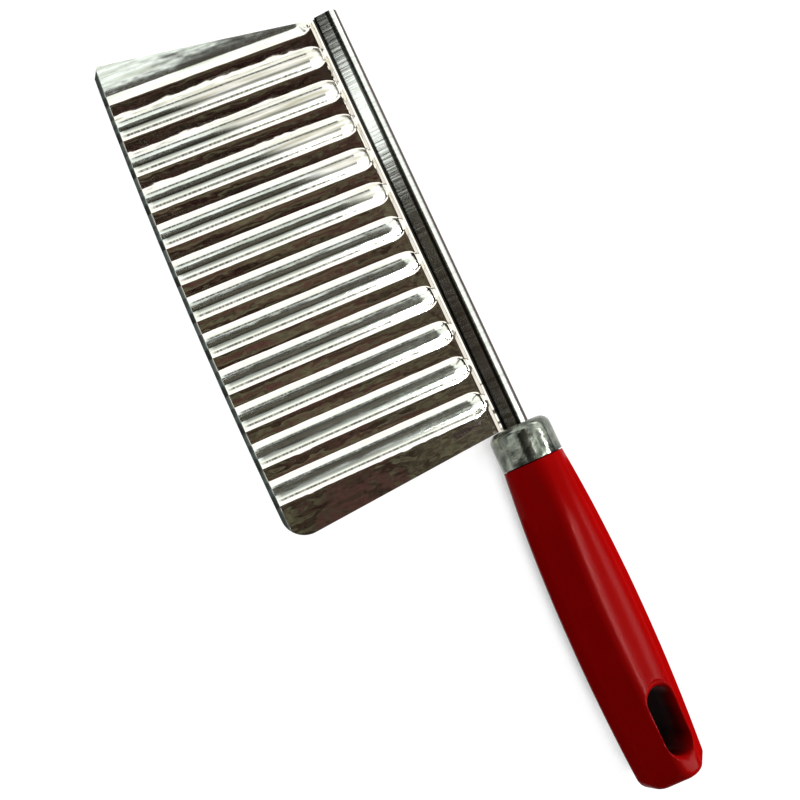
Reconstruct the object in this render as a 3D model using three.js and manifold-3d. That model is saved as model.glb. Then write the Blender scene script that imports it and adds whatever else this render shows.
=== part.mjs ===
// Crinkle cutter: a waved stainless blade pinched in a folded spine strip, whose far end is the tang of a
// moulded handle. A drawn ferrule closes the front of the handle. Millimetres, +Z up.
// The pieces are drawn in the blade's own frame: x along the spine from the tip to the butt, y from the
// cutting edge to the spine with zero at the strip's free edges, z out of the blade's face.
import * as THREE from 'three';
import { mergeVertices } from 'three/addons/utils/BufferGeometryUtils.js';
import Module from 'manifold-3d';

// Blade outline. The blade narrows to the tip, its ends lean out and its cutting edge is slightly convex.
const SPINE_LENGTH = 125.1;
const HEEL_HEIGHT = 63.2;
const TIP_NARROWING = 2.5;
const TIP_LEAN = 7.6;
const HEEL_LEAN = 4.6;
const EDGE_BULGE = 1.6;
const HEEL_RADIUS = 6.5;
const TIP_CLIP_ALONG = 3.2;
const TIP_CLIP_UP = 1.6;
const SHEET = 0.8;
const SHEET_IN_STRIP = 3.6;

// Ground cutting edge: the face thins to a narrow land over the bevel's width.
const BEVEL_WIDTH = 1.2;
const EDGE_LAND = 0.15;

// Waves across the blade: flat valleys, narrower flat crests and rounded flanks. Beside the strip the sheet
// steps down to the valleys over a margin, and each crest has a tapered round end.
const WAVE_PITCH = 10.6;
const WAVE_DEPTH = 1.4;
const VALLEY_DROP = 1.3;
const VALLEY_COUNT = 11;
const FIRST_VALLEY = 4.4;
const VALLEY_FLAT = 3.3;
const WAVE_FLANK = 2.75;
const MARGIN_START = 0.3;
const MARGIN_END = 1.6;
const CREST_END = 5.8;
const END_STRETCH = 1.45;

// Spine strip: one sheet folded round a fat bend, with its free edges pinching the blade.
const STRIP_SHEET = 0.7;
const STRIP_DEPTH = 7;
const STRIP_THICKNESS = 5.2;
const PINCH_GAP = 0.25;
const TANG_IN_HANDLE = 34;

// Ferrule: a drawn cap with a domed front.
const HEEL_GAP = 0.3;
const FERRULE_LENGTH = 10.3;
const FERRULE_WALL = 0.7;
const FERRULE_DOME = 2.8;

// Handle: eight-sided grip with rounded edges, near round at the ferrule, turned and dropped on the tang.
const HANDLE_LENGTH = 88;
const HANDLE_TURN = 15.5;
const HANDLE_DROP = 1.2;
const SEAM_HALF_WIDTH = 8.6;
const SEAM_HALF_DEPTH = 8.2;
const SEAM_FACET = 5.1;
const SEAM_ROUNDING = 6.5;
const GRIP_HALF_WIDTH = 10.9;
const GRIP_HALF_DEPTH = 9.6;
const GRIP_FACET = 6.1;
const GRIP_ROUNDING = 3;
const GRIP_START = 20;
const BELLY_AT = 45;
const BUTT_HALF_WIDTH = 8.8;
const BUTT_EDGE_SIDE_RADIUS = 4;
const BUTT_RADIUS = 1.5;
const BUTT_LEAN = 2.6;

// Hang slot near the butt.
const SLOT_LENGTH = 18;
const SLOT_WIDTH = 8.2;
const SLOT_TO_BUTT = 5.9;
const SLOT_CHAMFER = 0.8;

// Clearance between pieces that seat in or against each other.
const FIT = 0.3;

// Corners closer than this are one corner, and a rounding takes up at most this share of a side.
const WELD = 1e-4;
const CORNER_SHARE = 0.49;

// Facet counts of the round stretches.
const ROUND_STEPS = 8;
const CORNER_STEPS = 3;
const GRIP_STEPS = 5;

const wasm = await Module();
wasm.setup();

const lerp = THREE.MathUtils.lerp;
const clamp = THREE.MathUtils.clamp;
const smoothstep = THREE.MathUtils.smoothstep;

const TIP_HEIGHT = HEEL_HEIGHT - TIP_NARROWING;
const CREST_FLAT = WAVE_PITCH - VALLEY_FLAT - 2 * WAVE_FLANK;
const AXIS_Y = STRIP_DEPTH / 2;
const FERRULE_FRONT = SPINE_LENGTH + HEEL_GAP;
const SEAM = FERRULE_FRONT + FERRULE_LENGTH;
const SHOULDER = SEAM + FIT;
const BUTT = SHOULDER + HANDLE_LENGTH;

// A closed geometry as a solid that can be cut and joined, and back.
function solidOf(geometry) {
  const bare = geometry.clone();
  bare.deleteAttribute('normal');
  bare.deleteAttribute('uv');
  const merged = mergeVertices(bare, WELD);
  const vertProperties = new Float32Array(merged.attributes.position.array);
  const triVerts = new Uint32Array(merged.index.array);
  return new wasm.Manifold(new wasm.Mesh({ numProp: 3, vertProperties, triVerts }));
}

function geometryOf(solid) {
  const mesh = solid.getMesh();
  const geometry = new THREE.BufferGeometry();
  geometry.setAttribute('position', new THREE.BufferAttribute(mesh.vertProperties, 3));
  geometry.setIndex(new THREE.BufferAttribute(mesh.triVerts, 1));
  return geometry;
}

function indexedGeometry(points, triangles) {
  const geometry = new THREE.BufferGeometry().setFromPoints(points);
  geometry.setIndex(triangles.flat());
  return geometry;
}

// Closed loft through rings of equal point count that run anticlockwise seen from +x.
function loft(rings) {
  const count = rings[0].length;
  const triangles = [];
  for (let ring = 0; ring + 1 < rings.length; ring += 1) {
    for (let side = 0; side < count; side += 1) {
      const a = ring * count + side;
      const b = ring * count + (side + 1) % count;
      triangles.push([a, b, b + count], [a, b + count, a + count]);
    }
  }
  const last = (rings.length - 1) * count;
  for (let side = 1; side + 1 < count; side += 1) {
    triangles.push([0, side + 1, side], [last, last + side, last + side + 1]);
  }
  return indexedGeometry(rings.flat(), triangles);
}

// Extrusion along x of a shape drawn in y and z.
function extrudeAlongX(shape, from, to) {
  const geometry = new THREE.ExtrudeGeometry(shape, {
    depth: to - from, bevelEnabled: false, curveSegments: ROUND_STEPS,
  });
  const axes = new THREE.Matrix4().makeBasis(
    new THREE.Vector3(0, 1, 0), new THREE.Vector3(0, 0, 1), new THREE.Vector3(1, 0, 0));
  return geometry.applyMatrix4(axes).translate(from, 0, 0);
}

// Outline with each corner rounded, as a list of points with the same count for every corner.
function roundedOutline(corners, radius) {
  const total = corners.length;
  return corners.flatMap((corner, i) => {
    const before = corners[(i + total - 1) % total].clone().sub(corner);
    const after = corners[(i + 1) % total].clone().sub(corner);
    const turn = Math.PI - Math.abs(before.angleTo(after));
    const room = CORNER_SHARE * Math.min(before.length(), after.length());
    const reach = Math.min(radius * Math.tan(turn / 2), room);
    const start = corner.clone().addScaledVector(before.normalize(), reach);
    const end = corner.clone().addScaledVector(after.normalize(), reach);
    return new THREE.QuadraticBezierCurve(start, corner, end).getPoints(CORNER_STEPS);
  });
}

// Eight-sided section: half widths towards the edge and the spine, half depth, and the facets' reach across
// and down from each corner of the box round it.
function eightSided({ edgeSide, spineSide, halfDepth, edgeFacet, spineFacet, depthFacet, rounding }) {
  const low = depthFacet - halfDepth;
  const high = halfDepth - depthFacet;
  const corners = [
    [spineSide, low], [spineSide, high],
    [spineSide - spineFacet, halfDepth], [edgeFacet - edgeSide, halfDepth],
    [-edgeSide, high], [-edgeSide, low],
    [edgeFacet - edgeSide, -halfDepth], [spineSide - spineFacet, -halfDepth],
  ];
  return roundedOutline(corners.map(([y, z]) => new THREE.Vector2(y, z)), rounding);
}

// Blade
const tipX = (y) => TIP_LEAN * y / TIP_HEIGHT;
const heelX = (y) => SPINE_LENGTH - HEEL_LEAN * y / HEEL_HEIGHT;

// The cutting edge's y along the blade: the chord between its two corners plus a parabolic bulge.
function edgeY(x) {
  const along = (x + TIP_LEAN) / (TIP_LEAN + SPINE_LENGTH + HEEL_LEAN);
  return -lerp(TIP_HEIGHT, HEEL_HEIGHT, along) - 4 * EDGE_BULGE * along * (1 - along);
}

// The middle of a crest. Crest 0 reaches out to the tip, and a valley follows each crest.
const crestX = (wave) => FIRST_VALLEY + (wave - 0.5) * WAVE_PITCH;

// How much of a crest there is at a distance out from the strip: 1 on its flat, 0 in a valley.
function crestShare(x, out) {
  const wave = clamp(Math.round((x - crestX(0)) / WAVE_PITCH), 0, VALLEY_COUNT);
  const across = wave === 0 ? Math.max(x - crestX(0), 0) : x - crestX(wave);
  const pastEnd = Math.max(CREST_END - out, 0) / END_STRETCH;
  const fall = clamp((Math.hypot(across, pastEnd) - CREST_FLAT / 2) / WAVE_FLANK, 0, 1);
  return (1 + Math.cos(fall * Math.PI)) / 2;
}

// Height of the sheet's middle: the strip's plane, the step down over the margin, and the crests on top.
function sheetMiddle(x, out) {
  const stepDown = clamp((out - MARGIN_START) / (MARGIN_END - MARGIN_START), 0, 1);
  return WAVE_DEPTH * crestShare(x, out) - VALLEY_DROP * stepDown;
}

// Places along the spine at which the sheet is drawn: each crest's middle and some on each flank.
function bladeStations() {
  const overrun = 2;
  const flankStops = [-1, -0.66, -0.33, 0.33, 0.66, 1];
  const flank = (centre) => flankStops.map((stop) => centre + stop * WAVE_FLANK / 2);
  const reach = (CREST_FLAT + WAVE_FLANK) / 2;
  const stations = [-TIP_LEAN - overrun];
  for (let wave = 0; wave <= VALLEY_COUNT; wave += 1) {
    if (wave > 0) {
      stations.push(...flank(crestX(wave) - reach));
    }
    stations.push(crestX(wave), ...flank(crestX(wave) + reach));
  }
  stations.push(SPINE_LENGTH + HEEL_LEAN + overrun);
  return stations;
}

// Distances out from the strip at which the sheet is drawn: back edge, margin, crest ends and bevel.
function bladeRows(x) {
  const marginSteps = 3;
  const endSteps = 5;
  const rows = [-SHEET_IN_STRIP];
  for (let step = 0; step < marginSteps; step += 1) {
    rows.push(lerp(MARGIN_START, MARGIN_END, step / marginSteps));
  }
  for (let step = 0; step <= endSteps; step += 1) {
    rows.push(lerp(MARGIN_END, CREST_END, step / endSteps));
  }
  rows.push(-edgeY(x) - BEVEL_WIDTH, -edgeY(x));
  return rows;
}

function bladeGeometry() {
  const stations = bladeStations();
  const rowCount = bladeRows(0).length;
  const top = [];
  const bottom = [];
  for (const x of stations) {
    bladeRows(x).forEach((out, row) => {
      const middle = sheetMiddle(x, out);
      const thickness = row === rowCount - 1 ? EDGE_LAND : SHEET;
      bottom.push(new THREE.Vector3(x, -out, middle - SHEET / 2));
      top.push(new THREE.Vector3(x, -out, middle - SHEET / 2 + thickness));
    });
  }
  const count = top.length;
  const triangles = [];
  const quad = (a, b, c, d) => triangles.push([a, b, c], [a, c, d]);
  for (let i = 0; i + 1 < stations.length; i += 1) {
    const here = i * rowCount;
    const next = here + rowCount;
    for (let row = 0; row + 1 < rowCount; row += 1) {
      quad(here + row, here + row + 1, next + row + 1, next + row);
      quad(count + here + row, count + next + row, count + next + row + 1, count + here + row + 1);
    }
    const edge = rowCount - 1;
    quad(here, next, count + next, count + here);
    quad(here + edge, count + here + edge, count + next + edge, next + edge);
  }
  const end = count - rowCount;
  for (let row = 0; row + 1 < rowCount; row += 1) {
    quad(row, count + row, count + row + 1, row + 1);
    quad(end + row, end + row + 1, count + end + row + 1, count + end + row);
  }
  const sheet = solidOf(indexedGeometry([...top, ...bottom], triangles));
  return geometryOf(sheet.intersect(solidOf(bladeOutline())));
}

// Plate of the blade's outline: leaning ends, a clipped corner at the tip and a rounded one at the heel.
// Below the cutting edge it runs on, because the sheet itself ends there.
function bladeOutline() {
  const below = -2 * Math.max(TIP_HEIGHT, HEEL_HEIGHT);
  const clipTop = edgeY(-TIP_LEAN) + TIP_CLIP_UP;
  const clipEnd = TIP_CLIP_ALONG - TIP_LEAN;
  const heelCorner = new THREE.Vector2(heelX(-HEEL_HEIGHT), -HEEL_HEIGHT);
  const towardsTip = new THREE.Vector2(-1, edgeY(heelCorner.x - 1) - edgeY(heelCorner.x)).normalize();
  const towardsSpine = new THREE.Vector2(heelX(0), 0).sub(heelCorner).normalize();
  const cornerAngle = Math.acos(towardsTip.dot(towardsSpine));
  const reach = HEEL_RADIUS / Math.tan(cornerAngle / 2);
  const arcStart = heelCorner.clone().addScaledVector(towardsTip, reach);
  const arcEnd = heelCorner.clone().addScaledVector(towardsSpine, reach);
  // The corner curve starts a little below the edge, so that it leaves the edge at a clear angle.
  const startBelow = 0.15;
  const above = 2 * SHEET_IN_STRIP;

  const shape = new THREE.Shape();
  shape.moveTo(tipX(above), above);
  shape.lineTo(tipX(clipTop), clipTop);
  shape.lineTo(clipEnd, edgeY(clipEnd) - startBelow);
  shape.lineTo(clipEnd, below);
  shape.lineTo(arcStart.x, below);
  shape.lineTo(arcStart.x, arcStart.y - startBelow);
  shape.quadraticCurveTo(heelCorner.x, heelCorner.y - startBelow, arcEnd.x, arcEnd.y);
  shape.lineTo(heelX(above), above);
  shape.closePath();
  const reachUp = WAVE_DEPTH + VALLEY_DROP + SHEET;
  const plate = new THREE.ExtrudeGeometry(shape, {
    depth: 2 * reachUp, bevelEnabled: false, curveSegments: ROUND_STEPS,
  });
  return plate.translate(0, 0, -reachUp);
}

// Strip section. Each leg is straight from its free edge to where it meets the fold's arc.
const STRIP_RADIUS = STRIP_THICKNESS / 2;
const FOLD_Y = STRIP_DEPTH - STRIP_RADIUS;
const PINCH = SHEET / 2 + PINCH_GAP;

// The angle on an arc round the fold's centre at which a straight leg from (0, halfOpening) touches it.
function legAngle(radius, halfOpening) {
  const distance = Math.hypot(FOLD_Y, halfOpening);
  return Math.PI - Math.atan2(halfOpening, FOLD_Y) - Math.acos(radius / distance);
}

// Outside of the strip as a closed shape, grown all round by a clearance.
function stripOutside(grow) {
  const radius = STRIP_RADIUS + grow;
  const half = PINCH + STRIP_SHEET + grow;
  const touch = legAngle(radius, half);
  const shape = new THREE.Shape();
  shape.moveTo(-grow, -half);
  shape.lineTo(0, -half);
  shape.absarc(FOLD_Y, 0, radius, -touch, touch, false);
  shape.lineTo(0, half);
  shape.lineTo(-grow, half);
  shape.closePath();
  return shape;
}

function stripGeometry() {
  const outerTouch = legAngle(STRIP_RADIUS, PINCH + STRIP_SHEET);
  const innerRadius = STRIP_RADIUS - STRIP_SHEET;
  const innerTouch = legAngle(innerRadius, PINCH);
  const shape = new THREE.Shape();
  shape.moveTo(0, -PINCH - STRIP_SHEET);
  shape.absarc(FOLD_Y, 0, STRIP_RADIUS, -outerTouch, outerTouch, false);
  shape.lineTo(0, PINCH + STRIP_SHEET);
  shape.lineTo(0, PINCH);
  shape.absarc(FOLD_Y, 0, innerRadius, innerTouch, -innerTouch, true);
  shape.lineTo(0, -PINCH);
  shape.closePath();
  return extrudeAlongX(shape, 0, SHOULDER + TANG_IN_HANDLE);
}

// Domed cap round the handle's neck, at a distance inside the ferrule's outer face.
function capGeometry(inside, end) {
  const radius = FERRULE_DOME - inside;
  const stations = [];
  for (let step = 0; step <= ROUND_STEPS; step += 1) {
    const angle = step / ROUND_STEPS * Math.PI / 2;
    stations.push({
      x: FERRULE_FRONT + FERRULE_DOME - radius * Math.cos(angle),
      inset: inside + radius * (1 - Math.sin(angle)),
    });
  }
  stations.push({ x: end, inset: inside });
  return loft(stations.map(({ x, inset }) => {
    const half = SEAM_HALF_WIDTH - inset;
    const halfDepth = SEAM_HALF_DEPTH - inset;
    const facet = SEAM_FACET * half / SEAM_HALF_WIDTH;
    const outline = eightSided({
      edgeSide: half,
      spineSide: half,
      halfDepth,
      edgeFacet: facet,
      spineFacet: facet,
      depthFacet: SEAM_FACET * halfDepth / SEAM_HALF_DEPTH,
      rounding: SEAM_ROUNDING,
    });
    return outline.map(({ x: y, y: z }) => new THREE.Vector3(x, AXIS_Y + y, z));
  }));
}

function ferruleGeometry() {
  const outside = solidOf(capGeometry(0, SEAM));
  const hollow = solidOf(capGeometry(FERRULE_WALL, SEAM + FERRULE_WALL));
  const stripSlot = solidOf(extrudeAlongX(stripOutside(FIT), FERRULE_FRONT - FIT, SEAM));
  return geometryOf(outside.subtract(hollow).subtract(stripSlot));
}

// Handle
const gripAxisY = (x) => AXIS_Y - HANDLE_DROP * (x - SHOULDER) / HANDLE_LENGTH;

// Turns a point of the handle's own section on to the tang.
function turned(x, y, z) {
  const turn = THREE.MathUtils.degToRad(HANDLE_TURN);
  const across = y * Math.cos(turn) + z * Math.sin(turn);
  const up = z * Math.cos(turn) - y * Math.sin(turn);
  return new THREE.Vector3(x, gripAxisY(x) + across, up);
}

function gripHalfWidth(along) {
  if (along < BELLY_AT) {
    return lerp(SEAM_HALF_WIDTH, GRIP_HALF_WIDTH, Math.sin(along / BELLY_AT * Math.PI / 2));
  }
  const past = (along - BELLY_AT) / (HANDLE_LENGTH - BELLY_AT);
  return lerp(GRIP_HALF_WIDTH, BUTT_HALF_WIDTH, past * past);
}

// How far a rounded end has drawn in at a distance along the handle.
function endInset(along, radius) {
  const into = Math.max(along - (HANDLE_LENGTH - radius), 0);
  return radius - Math.sqrt(Math.max(radius * radius - into * into, 0));
}

function gripRing(along) {
  const swell = Math.sin(Math.min(along / GRIP_START, 1) * Math.PI / 2);
  const fullWidth = gripHalfWidth(along);
  const fullDepth = lerp(SEAM_HALF_DEPTH, GRIP_HALF_DEPTH, swell);
  const facet = lerp(SEAM_FACET, GRIP_FACET, swell);
  const edgeSide = fullWidth - endInset(along, BUTT_EDGE_SIDE_RADIUS);
  const spineSide = fullWidth - endInset(along, BUTT_RADIUS);
  const halfDepth = fullDepth - endInset(along, BUTT_RADIUS);
  const outline = eightSided({
    edgeSide,
    spineSide,
    halfDepth,
    edgeFacet: facet * edgeSide / fullWidth,
    spineFacet: facet * spineSide / fullWidth,
    depthFacet: facet * halfDepth / fullDepth,
    rounding: lerp(SEAM_ROUNDING, GRIP_ROUNDING, swell),
  });
  const lean = BUTT_LEAN * smoothstep(along, BELLY_AT, HANDLE_LENGTH) / (2 * BUTT_HALF_WIDTH);
  return outline.map(({ x: y, y: z }) => turned(SHOULDER + along - lean * y, y, z));
}

function gripGeometry() {
  const alongs = [];
  for (let step = 0; step < GRIP_STEPS; step += 1) {
    alongs.push(GRIP_START * step / GRIP_STEPS);
  }
  const roundStart = HANDLE_LENGTH - BUTT_EDGE_SIDE_RADIUS;
  for (let step = 0; step < 2 * GRIP_STEPS; step += 1) {
    alongs.push(lerp(GRIP_START, roundStart, step / (2 * GRIP_STEPS)));
  }
  for (let step = 0; step <= ROUND_STEPS; step += 1) {
    const angle = step / ROUND_STEPS * Math.PI / 2;
    alongs.push(roundStart + BUTT_EDGE_SIDE_RADIUS * Math.sin(angle));
  }
  return loft(alongs.map(gripRing));
}

// Hang slot: an oblong prism through the grip's depth, with a chamfer where it breaks out on both flats.
function slotCutters() {
  const slotX = BUTT - SLOT_TO_BUTT - SLOT_LENGTH / 2;
  const half = SLOT_LENGTH / 2 - SLOT_WIDTH / 2;
  const shape = new THREE.Shape();
  shape.absarc(half, 0, SLOT_WIDTH / 2, -Math.PI / 2, Math.PI / 2, false);
  shape.absarc(-half, 0, SLOT_WIDTH / 2, Math.PI / 2, 3 * Math.PI / 2, false);
  const through = new THREE.ExtrudeGeometry(shape, {
    depth: 4 * GRIP_HALF_DEPTH, bevelEnabled: false, curveSegments: ROUND_STEPS,
  });
  through.translate(0, 0, -2 * GRIP_HALF_DEPTH);
  const flare = () => new THREE.ExtrudeGeometry(shape, {
    depth: SLOT_CHAMFER,
    bevelThickness: SLOT_CHAMFER,
    bevelSize: SLOT_CHAMFER,
    bevelSegments: 1,
    curveSegments: ROUND_STEPS,
  });
  const upper = flare().translate(0, 0, GRIP_HALF_DEPTH);
  const lower = flare().rotateX(Math.PI).translate(0, 0, -GRIP_HALF_DEPTH);
  return [through, upper, lower].map((cutter) => solidOf(cutter
    .rotateX(-THREE.MathUtils.degToRad(HANDLE_TURN))
    .translate(slotX, gripAxisY(slotX), 0)));
}

function handleGeometry() {
  const neck = solidOf(capGeometry(FERRULE_WALL + FIT, SHOULDER + FIT));
  const socket = solidOf(extrudeAlongX(stripOutside(FIT), FERRULE_FRONT, SHOULDER + TANG_IN_HANDLE + FIT));
  let solid = solidOf(gripGeometry()).add(neck).subtract(socket);
  for (const cutter of slotCutters()) {
    solid = solid.subtract(cutter);
  }
  return geometryOf(solid);
}

// Roll about the spine at which the cutting edge and the handle lie on one table.
function lyingRoll(blade, handle) {
  const lowest = (mesh, roll) => {
    const { array } = mesh.geometry.attributes.position;
    let low = Infinity;
    for (let i = 0; i < array.length; i += 3) {
      low = Math.min(low, array[i + 1] * Math.sin(roll) + array[i + 2] * Math.cos(roll));
    }
    return low;
  };
  const halvings = 40;
  let least = 0;
  let most = Math.PI / 4;
  for (let halving = 0; halving < halvings; halving += 1) {
    const roll = (least + most) / 2;
    if (lowest(blade, roll) > lowest(handle, roll)) {
      least = roll;
    } else {
      most = roll;
    }
  }
  return (least + most) / 2;
}

function piece(name, geometry, look) {
  const mesh = new THREE.Mesh(geometry, new THREE.MeshStandardMaterial(look));
  mesh.name = name;
  return mesh;
}

const blade = piece('blade', bladeGeometry(), { color: 0xb9bab2, roughness: 0.22, metalness: 1 });
const spineStrip = piece('spine_strip', stripGeometry(), { color: 0xbcbdb6, roughness: 0.28, metalness: 1 });
const ferrule = piece('ferrule', ferruleGeometry(), { color: 0xa9afa6, roughness: 0.3, metalness: 1 });
const handle = piece('handle', handleGeometry(), { color: 0xa30808, roughness: 0.3, metalness: 0 });

const assembly = new THREE.Group();
assembly.add(blade, spineStrip, ferrule, handle);
assembly.rotation.x = lyingRoll(blade, handle);

// The cutter stands with the middle of its footprint on the origin.
const cutter = new THREE.Group();
cutter.add(assembly);
const box = new THREE.Box3().setFromObject(cutter, true);
assembly.position.set(-(box.min.x + box.max.x) / 2, -(box.min.y + box.max.y) / 2, -box.min.z);

export default cutter;
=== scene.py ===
import math

import bmesh
import bpy
from mathutils import Matrix, Vector


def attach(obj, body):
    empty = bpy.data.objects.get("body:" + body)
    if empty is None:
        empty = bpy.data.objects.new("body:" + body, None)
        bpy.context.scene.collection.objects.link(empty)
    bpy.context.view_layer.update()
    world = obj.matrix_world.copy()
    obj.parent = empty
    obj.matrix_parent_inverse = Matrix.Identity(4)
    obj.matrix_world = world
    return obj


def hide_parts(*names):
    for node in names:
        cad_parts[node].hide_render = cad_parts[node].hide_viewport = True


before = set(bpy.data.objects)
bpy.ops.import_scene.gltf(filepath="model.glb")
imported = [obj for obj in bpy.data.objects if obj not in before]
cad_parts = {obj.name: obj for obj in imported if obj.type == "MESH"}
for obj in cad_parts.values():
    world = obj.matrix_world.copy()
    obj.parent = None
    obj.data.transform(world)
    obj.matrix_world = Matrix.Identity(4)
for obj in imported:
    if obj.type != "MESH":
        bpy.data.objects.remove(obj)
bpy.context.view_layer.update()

# Blade: one stainless sheet, stamped with parallel flat-topped waves whose rounded ends stop beside the spine. The
# upper face is ground along the slightly convex cutting edge, the tip corner is clipped and the heel corner rounded.
mm = 0.001
LYING = Matrix.Translation(Vector((-108.674, 24.623, 9.673)) * mm) @ Matrix.Rotation(math.radians(7.192), 4, "X")
SPINE_LENGTH = 125.1 * mm
TIP_HEIGHT = 61.4 * mm
HEEL_HEIGHT = 63.2 * mm
TIP_LEAN = 9.1 * mm
HEEL_LEAN = 4.6 * mm
EDGE_BULGE = 1.6 * mm
HEEL_RADIUS = 6.5 * mm
TIP_CLIP_ALONG = 3.2 * mm
TIP_CLIP_UP = 1.6 * mm
SHEET = 0.8 * mm
SHEET_IN_STRIP = 3.6 * mm
BEVEL_WIDTH = 1.2 * mm
EDGE_LAND = 0.15 * mm
WAVE_PITCH = 10.6 * mm
WAVE_DEPTH = 1.4 * mm
VALLEY_DROP = 1.3 * mm
VALLEY_COUNT = 11
FIRST_VALLEY = 4.4 * mm
VALLEY_FLAT = 3.3 * mm
WAVE_FLANK = 2.75 * mm
CREST_FLAT = WAVE_PITCH - VALLEY_FLAT - 2 * WAVE_FLANK
LEFT_CROWN = 0.1
RIGHT_CROWN = 0.03
VALLEY_DISH = 0.06 * mm
MARGIN_START = 0.3 * mm
MARGIN_END = 1.6 * mm
CREST_END = 5.8 * mm
END_STRETCH = 1.45
TIP_DROOP = 0.08
SCUFF_REACH = 56 * mm
SCUFF_FADE = 14 * mm
RUN_OUT_ROWS = 24
BODY_ROWS = 14
LINE_STOP = 1.6 * mm
LEFT_LINE = 0.18
RIGHT_LINE = 0.55
LEFT_EDGE_SHADE = 0.25
RIGHT_EDGE_SHADE = 0.8
EDGE_SHADE_BEFORE = 0.18
EDGE_SHADE_FULL_TO = 0.1
EDGE_SHADE_FADE = 0.35
NO_LINE = 1
RAMP_SOFT = 0.15
GROUND_SHARPNESS = 8
BEVEL_ROWS = 4
OVERRUN = 2 * mm


def edge_y(x):
    along = (x + TIP_LEAN) / (TIP_LEAN + SPINE_LENGTH + HEEL_LEAN)
    chord = TIP_HEIGHT + (HEEL_HEIGHT - TIP_HEIGHT) * along
    return -chord - 4 * EDGE_BULGE * along * (1 - along)


def ease(t):
    return 0.5 - 0.5 * math.cos(math.pi * min(max(t, 0), 1))


# A straight ramp from 0 to 1 with softened ends.
def ramp(t):
    t = min(max(t, 0), 1)
    if t < RAMP_SOFT:
        return t * t / (2 * RAMP_SOFT * (1 - RAMP_SOFT))
    if t > 1 - RAMP_SOFT:
        return 1 - (1 - t) ** 2 / (2 * RAMP_SOFT * (1 - RAMP_SOFT))
    return (t - RAMP_SOFT / 2) / (1 - RAMP_SOFT)


# How much of a crest there is at a point of the sheet: 1 on a crest, 0 in a valley, tapered off at the spine end.
# Then how far the point is past the painted dark reflection line on its flank, how much painted shade darkens the
# crest's edge there and how deep the valley is dished.
def wave_at(x, out):
    wave = min(max(math.floor((x - FIRST_VALLEY) / WAVE_PITCH), -1), VALLEY_COUNT - 1)
    across = x - FIRST_VALLEY - (wave + 0.5) * WAVE_PITCH
    if wave < 0:
        across = max(across, 0)
    away = math.hypot(across, max(CREST_END - out, 0) / END_STRETCH)
    fall = (away - CREST_FLAT / 2) / WAVE_FLANK
    crown, line_at, painted_edge_shade = (RIGHT_CROWN, RIGHT_LINE, RIGHT_EDGE_SHADE)
    if across < 0:
        crown, line_at, painted_edge_shade = (LEFT_CROWN, LEFT_LINE, LEFT_EDGE_SHADE)
    crown *= min(away / (CREST_FLAT / 2), 1) ** 2
    # Painted shade along the crest's edge and the top of the flank.
    painted_edge_shade *= ease((fall + EDGE_SHADE_BEFORE) / EDGE_SHADE_BEFORE) * (1 - ease((fall - EDGE_SHADE_FULL_TO) / EDGE_SHADE_FADE))
    past_reflection_line = fall - line_at
    if wave < 0:
        painted_edge_shade, past_reflection_line = 0, NO_LINE
    to_middle = min((WAVE_PITCH / 2 - away) / (VALLEY_FLAT / 2), 1)
    dish = VALLEY_DISH * (1 - to_middle ** 2) * ease((out - CREST_END) / CREST_END)
    if to_middle < 0 or (wave == VALLEY_COUNT - 1 and across > 0):
        dish = 0
    return (1 - crown) * (1 - ramp(fall)), past_reflection_line, painted_edge_shade, dish


columns = [-TIP_LEAN - OVERRUN + (TIP_LEAN + OVERRUN) * step / 8 for step in range(8)]
for valley in range(VALLEY_COUNT + 1):
    start = FIRST_VALLEY + valley * WAVE_PITCH - VALLEY_FLAT / 2 - WAVE_FLANK
    for length, steps in ((WAVE_FLANK, 12), (VALLEY_FLAT, 4), (WAVE_FLANK, 12), (CREST_FLAT, 6)):
        columns += [start + length * step / steps for step in range(steps)]
        start += length
heel_end = SPINE_LENGTH + HEEL_LEAN + OVERRUN
columns = [x for x in columns if x < heel_end] + [heel_end]
run_out_end = CREST_END + 1 * mm
row_count = 2 + RUN_OUT_ROWS + BODY_ROWS + BEVEL_ROWS

blade = bmesh.new()
crest_layer = blade.verts.layers.float.new("crest")
ground_layer = blade.verts.layers.float.new("ground")
scuff_layer = blade.verts.layers.float.new("scuff")
reflection_line_layer = blade.verts.layers.float.new("reflection_line_offset")
lined_layer = blade.verts.layers.float.new("lined")
painted_edge_shade_layer = blade.verts.layers.float.new("painted_edge_shade")
bmesh.ops.create_grid(blade, x_segments=len(columns) - 1, y_segments=row_count - 1, size=1)
for vert in blade.verts:
    x = columns[round((vert.co.x + 1) / 2 * (len(columns) - 1))]
    row = round((1 - vert.co.y) / 2 * (row_count - 1))
    bevel_start = -edge_y(x) - BEVEL_WIDTH
    if row < 2:
        out = -SHEET_IN_STRIP * (1 - row / 2)
    elif row < 2 + RUN_OUT_ROWS:
        out = run_out_end * (row - 2) / RUN_OUT_ROWS
    elif row < row_count - BEVEL_ROWS:
        body = bevel_start - LINE_STOP - run_out_end
        out = run_out_end + body * (row - 2 - RUN_OUT_ROWS) / (BODY_ROWS - 1)
    else:
        out = bevel_start + BEVEL_WIDTH * ((row - row_count + BEVEL_ROWS) / (BEVEL_ROWS - 1)) ** 2
    share, past_reflection_line, painted_edge_shade, dish = wave_at(x, out)
    droop = TIP_DROOP * max(-x, 0) * max(out, 0) / TIP_HEIGHT
    step_down = ramp((out - MARGIN_START) / (MARGIN_END - MARGIN_START))
    vert.co = (x, -out, WAVE_DEPTH * share - VALLEY_DROP * step_down - droop - dish)
    vert[crest_layer] = share
    # Where the painted dark reflection line and the painted edge shade go.
    vert[reflection_line_layer] = past_reflection_line
    vert[lined_layer] = 1 if out > CREST_END and row < row_count - BEVEL_ROWS else 0
    vert[painted_edge_shade_layer] = painted_edge_shade * vert[lined_layer]
    vert[scuff_layer] = share * ease((SCUFF_REACH - 0.75 * x - out) / SCUFF_FADE) * ease(x / FIRST_VALLEY)

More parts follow.
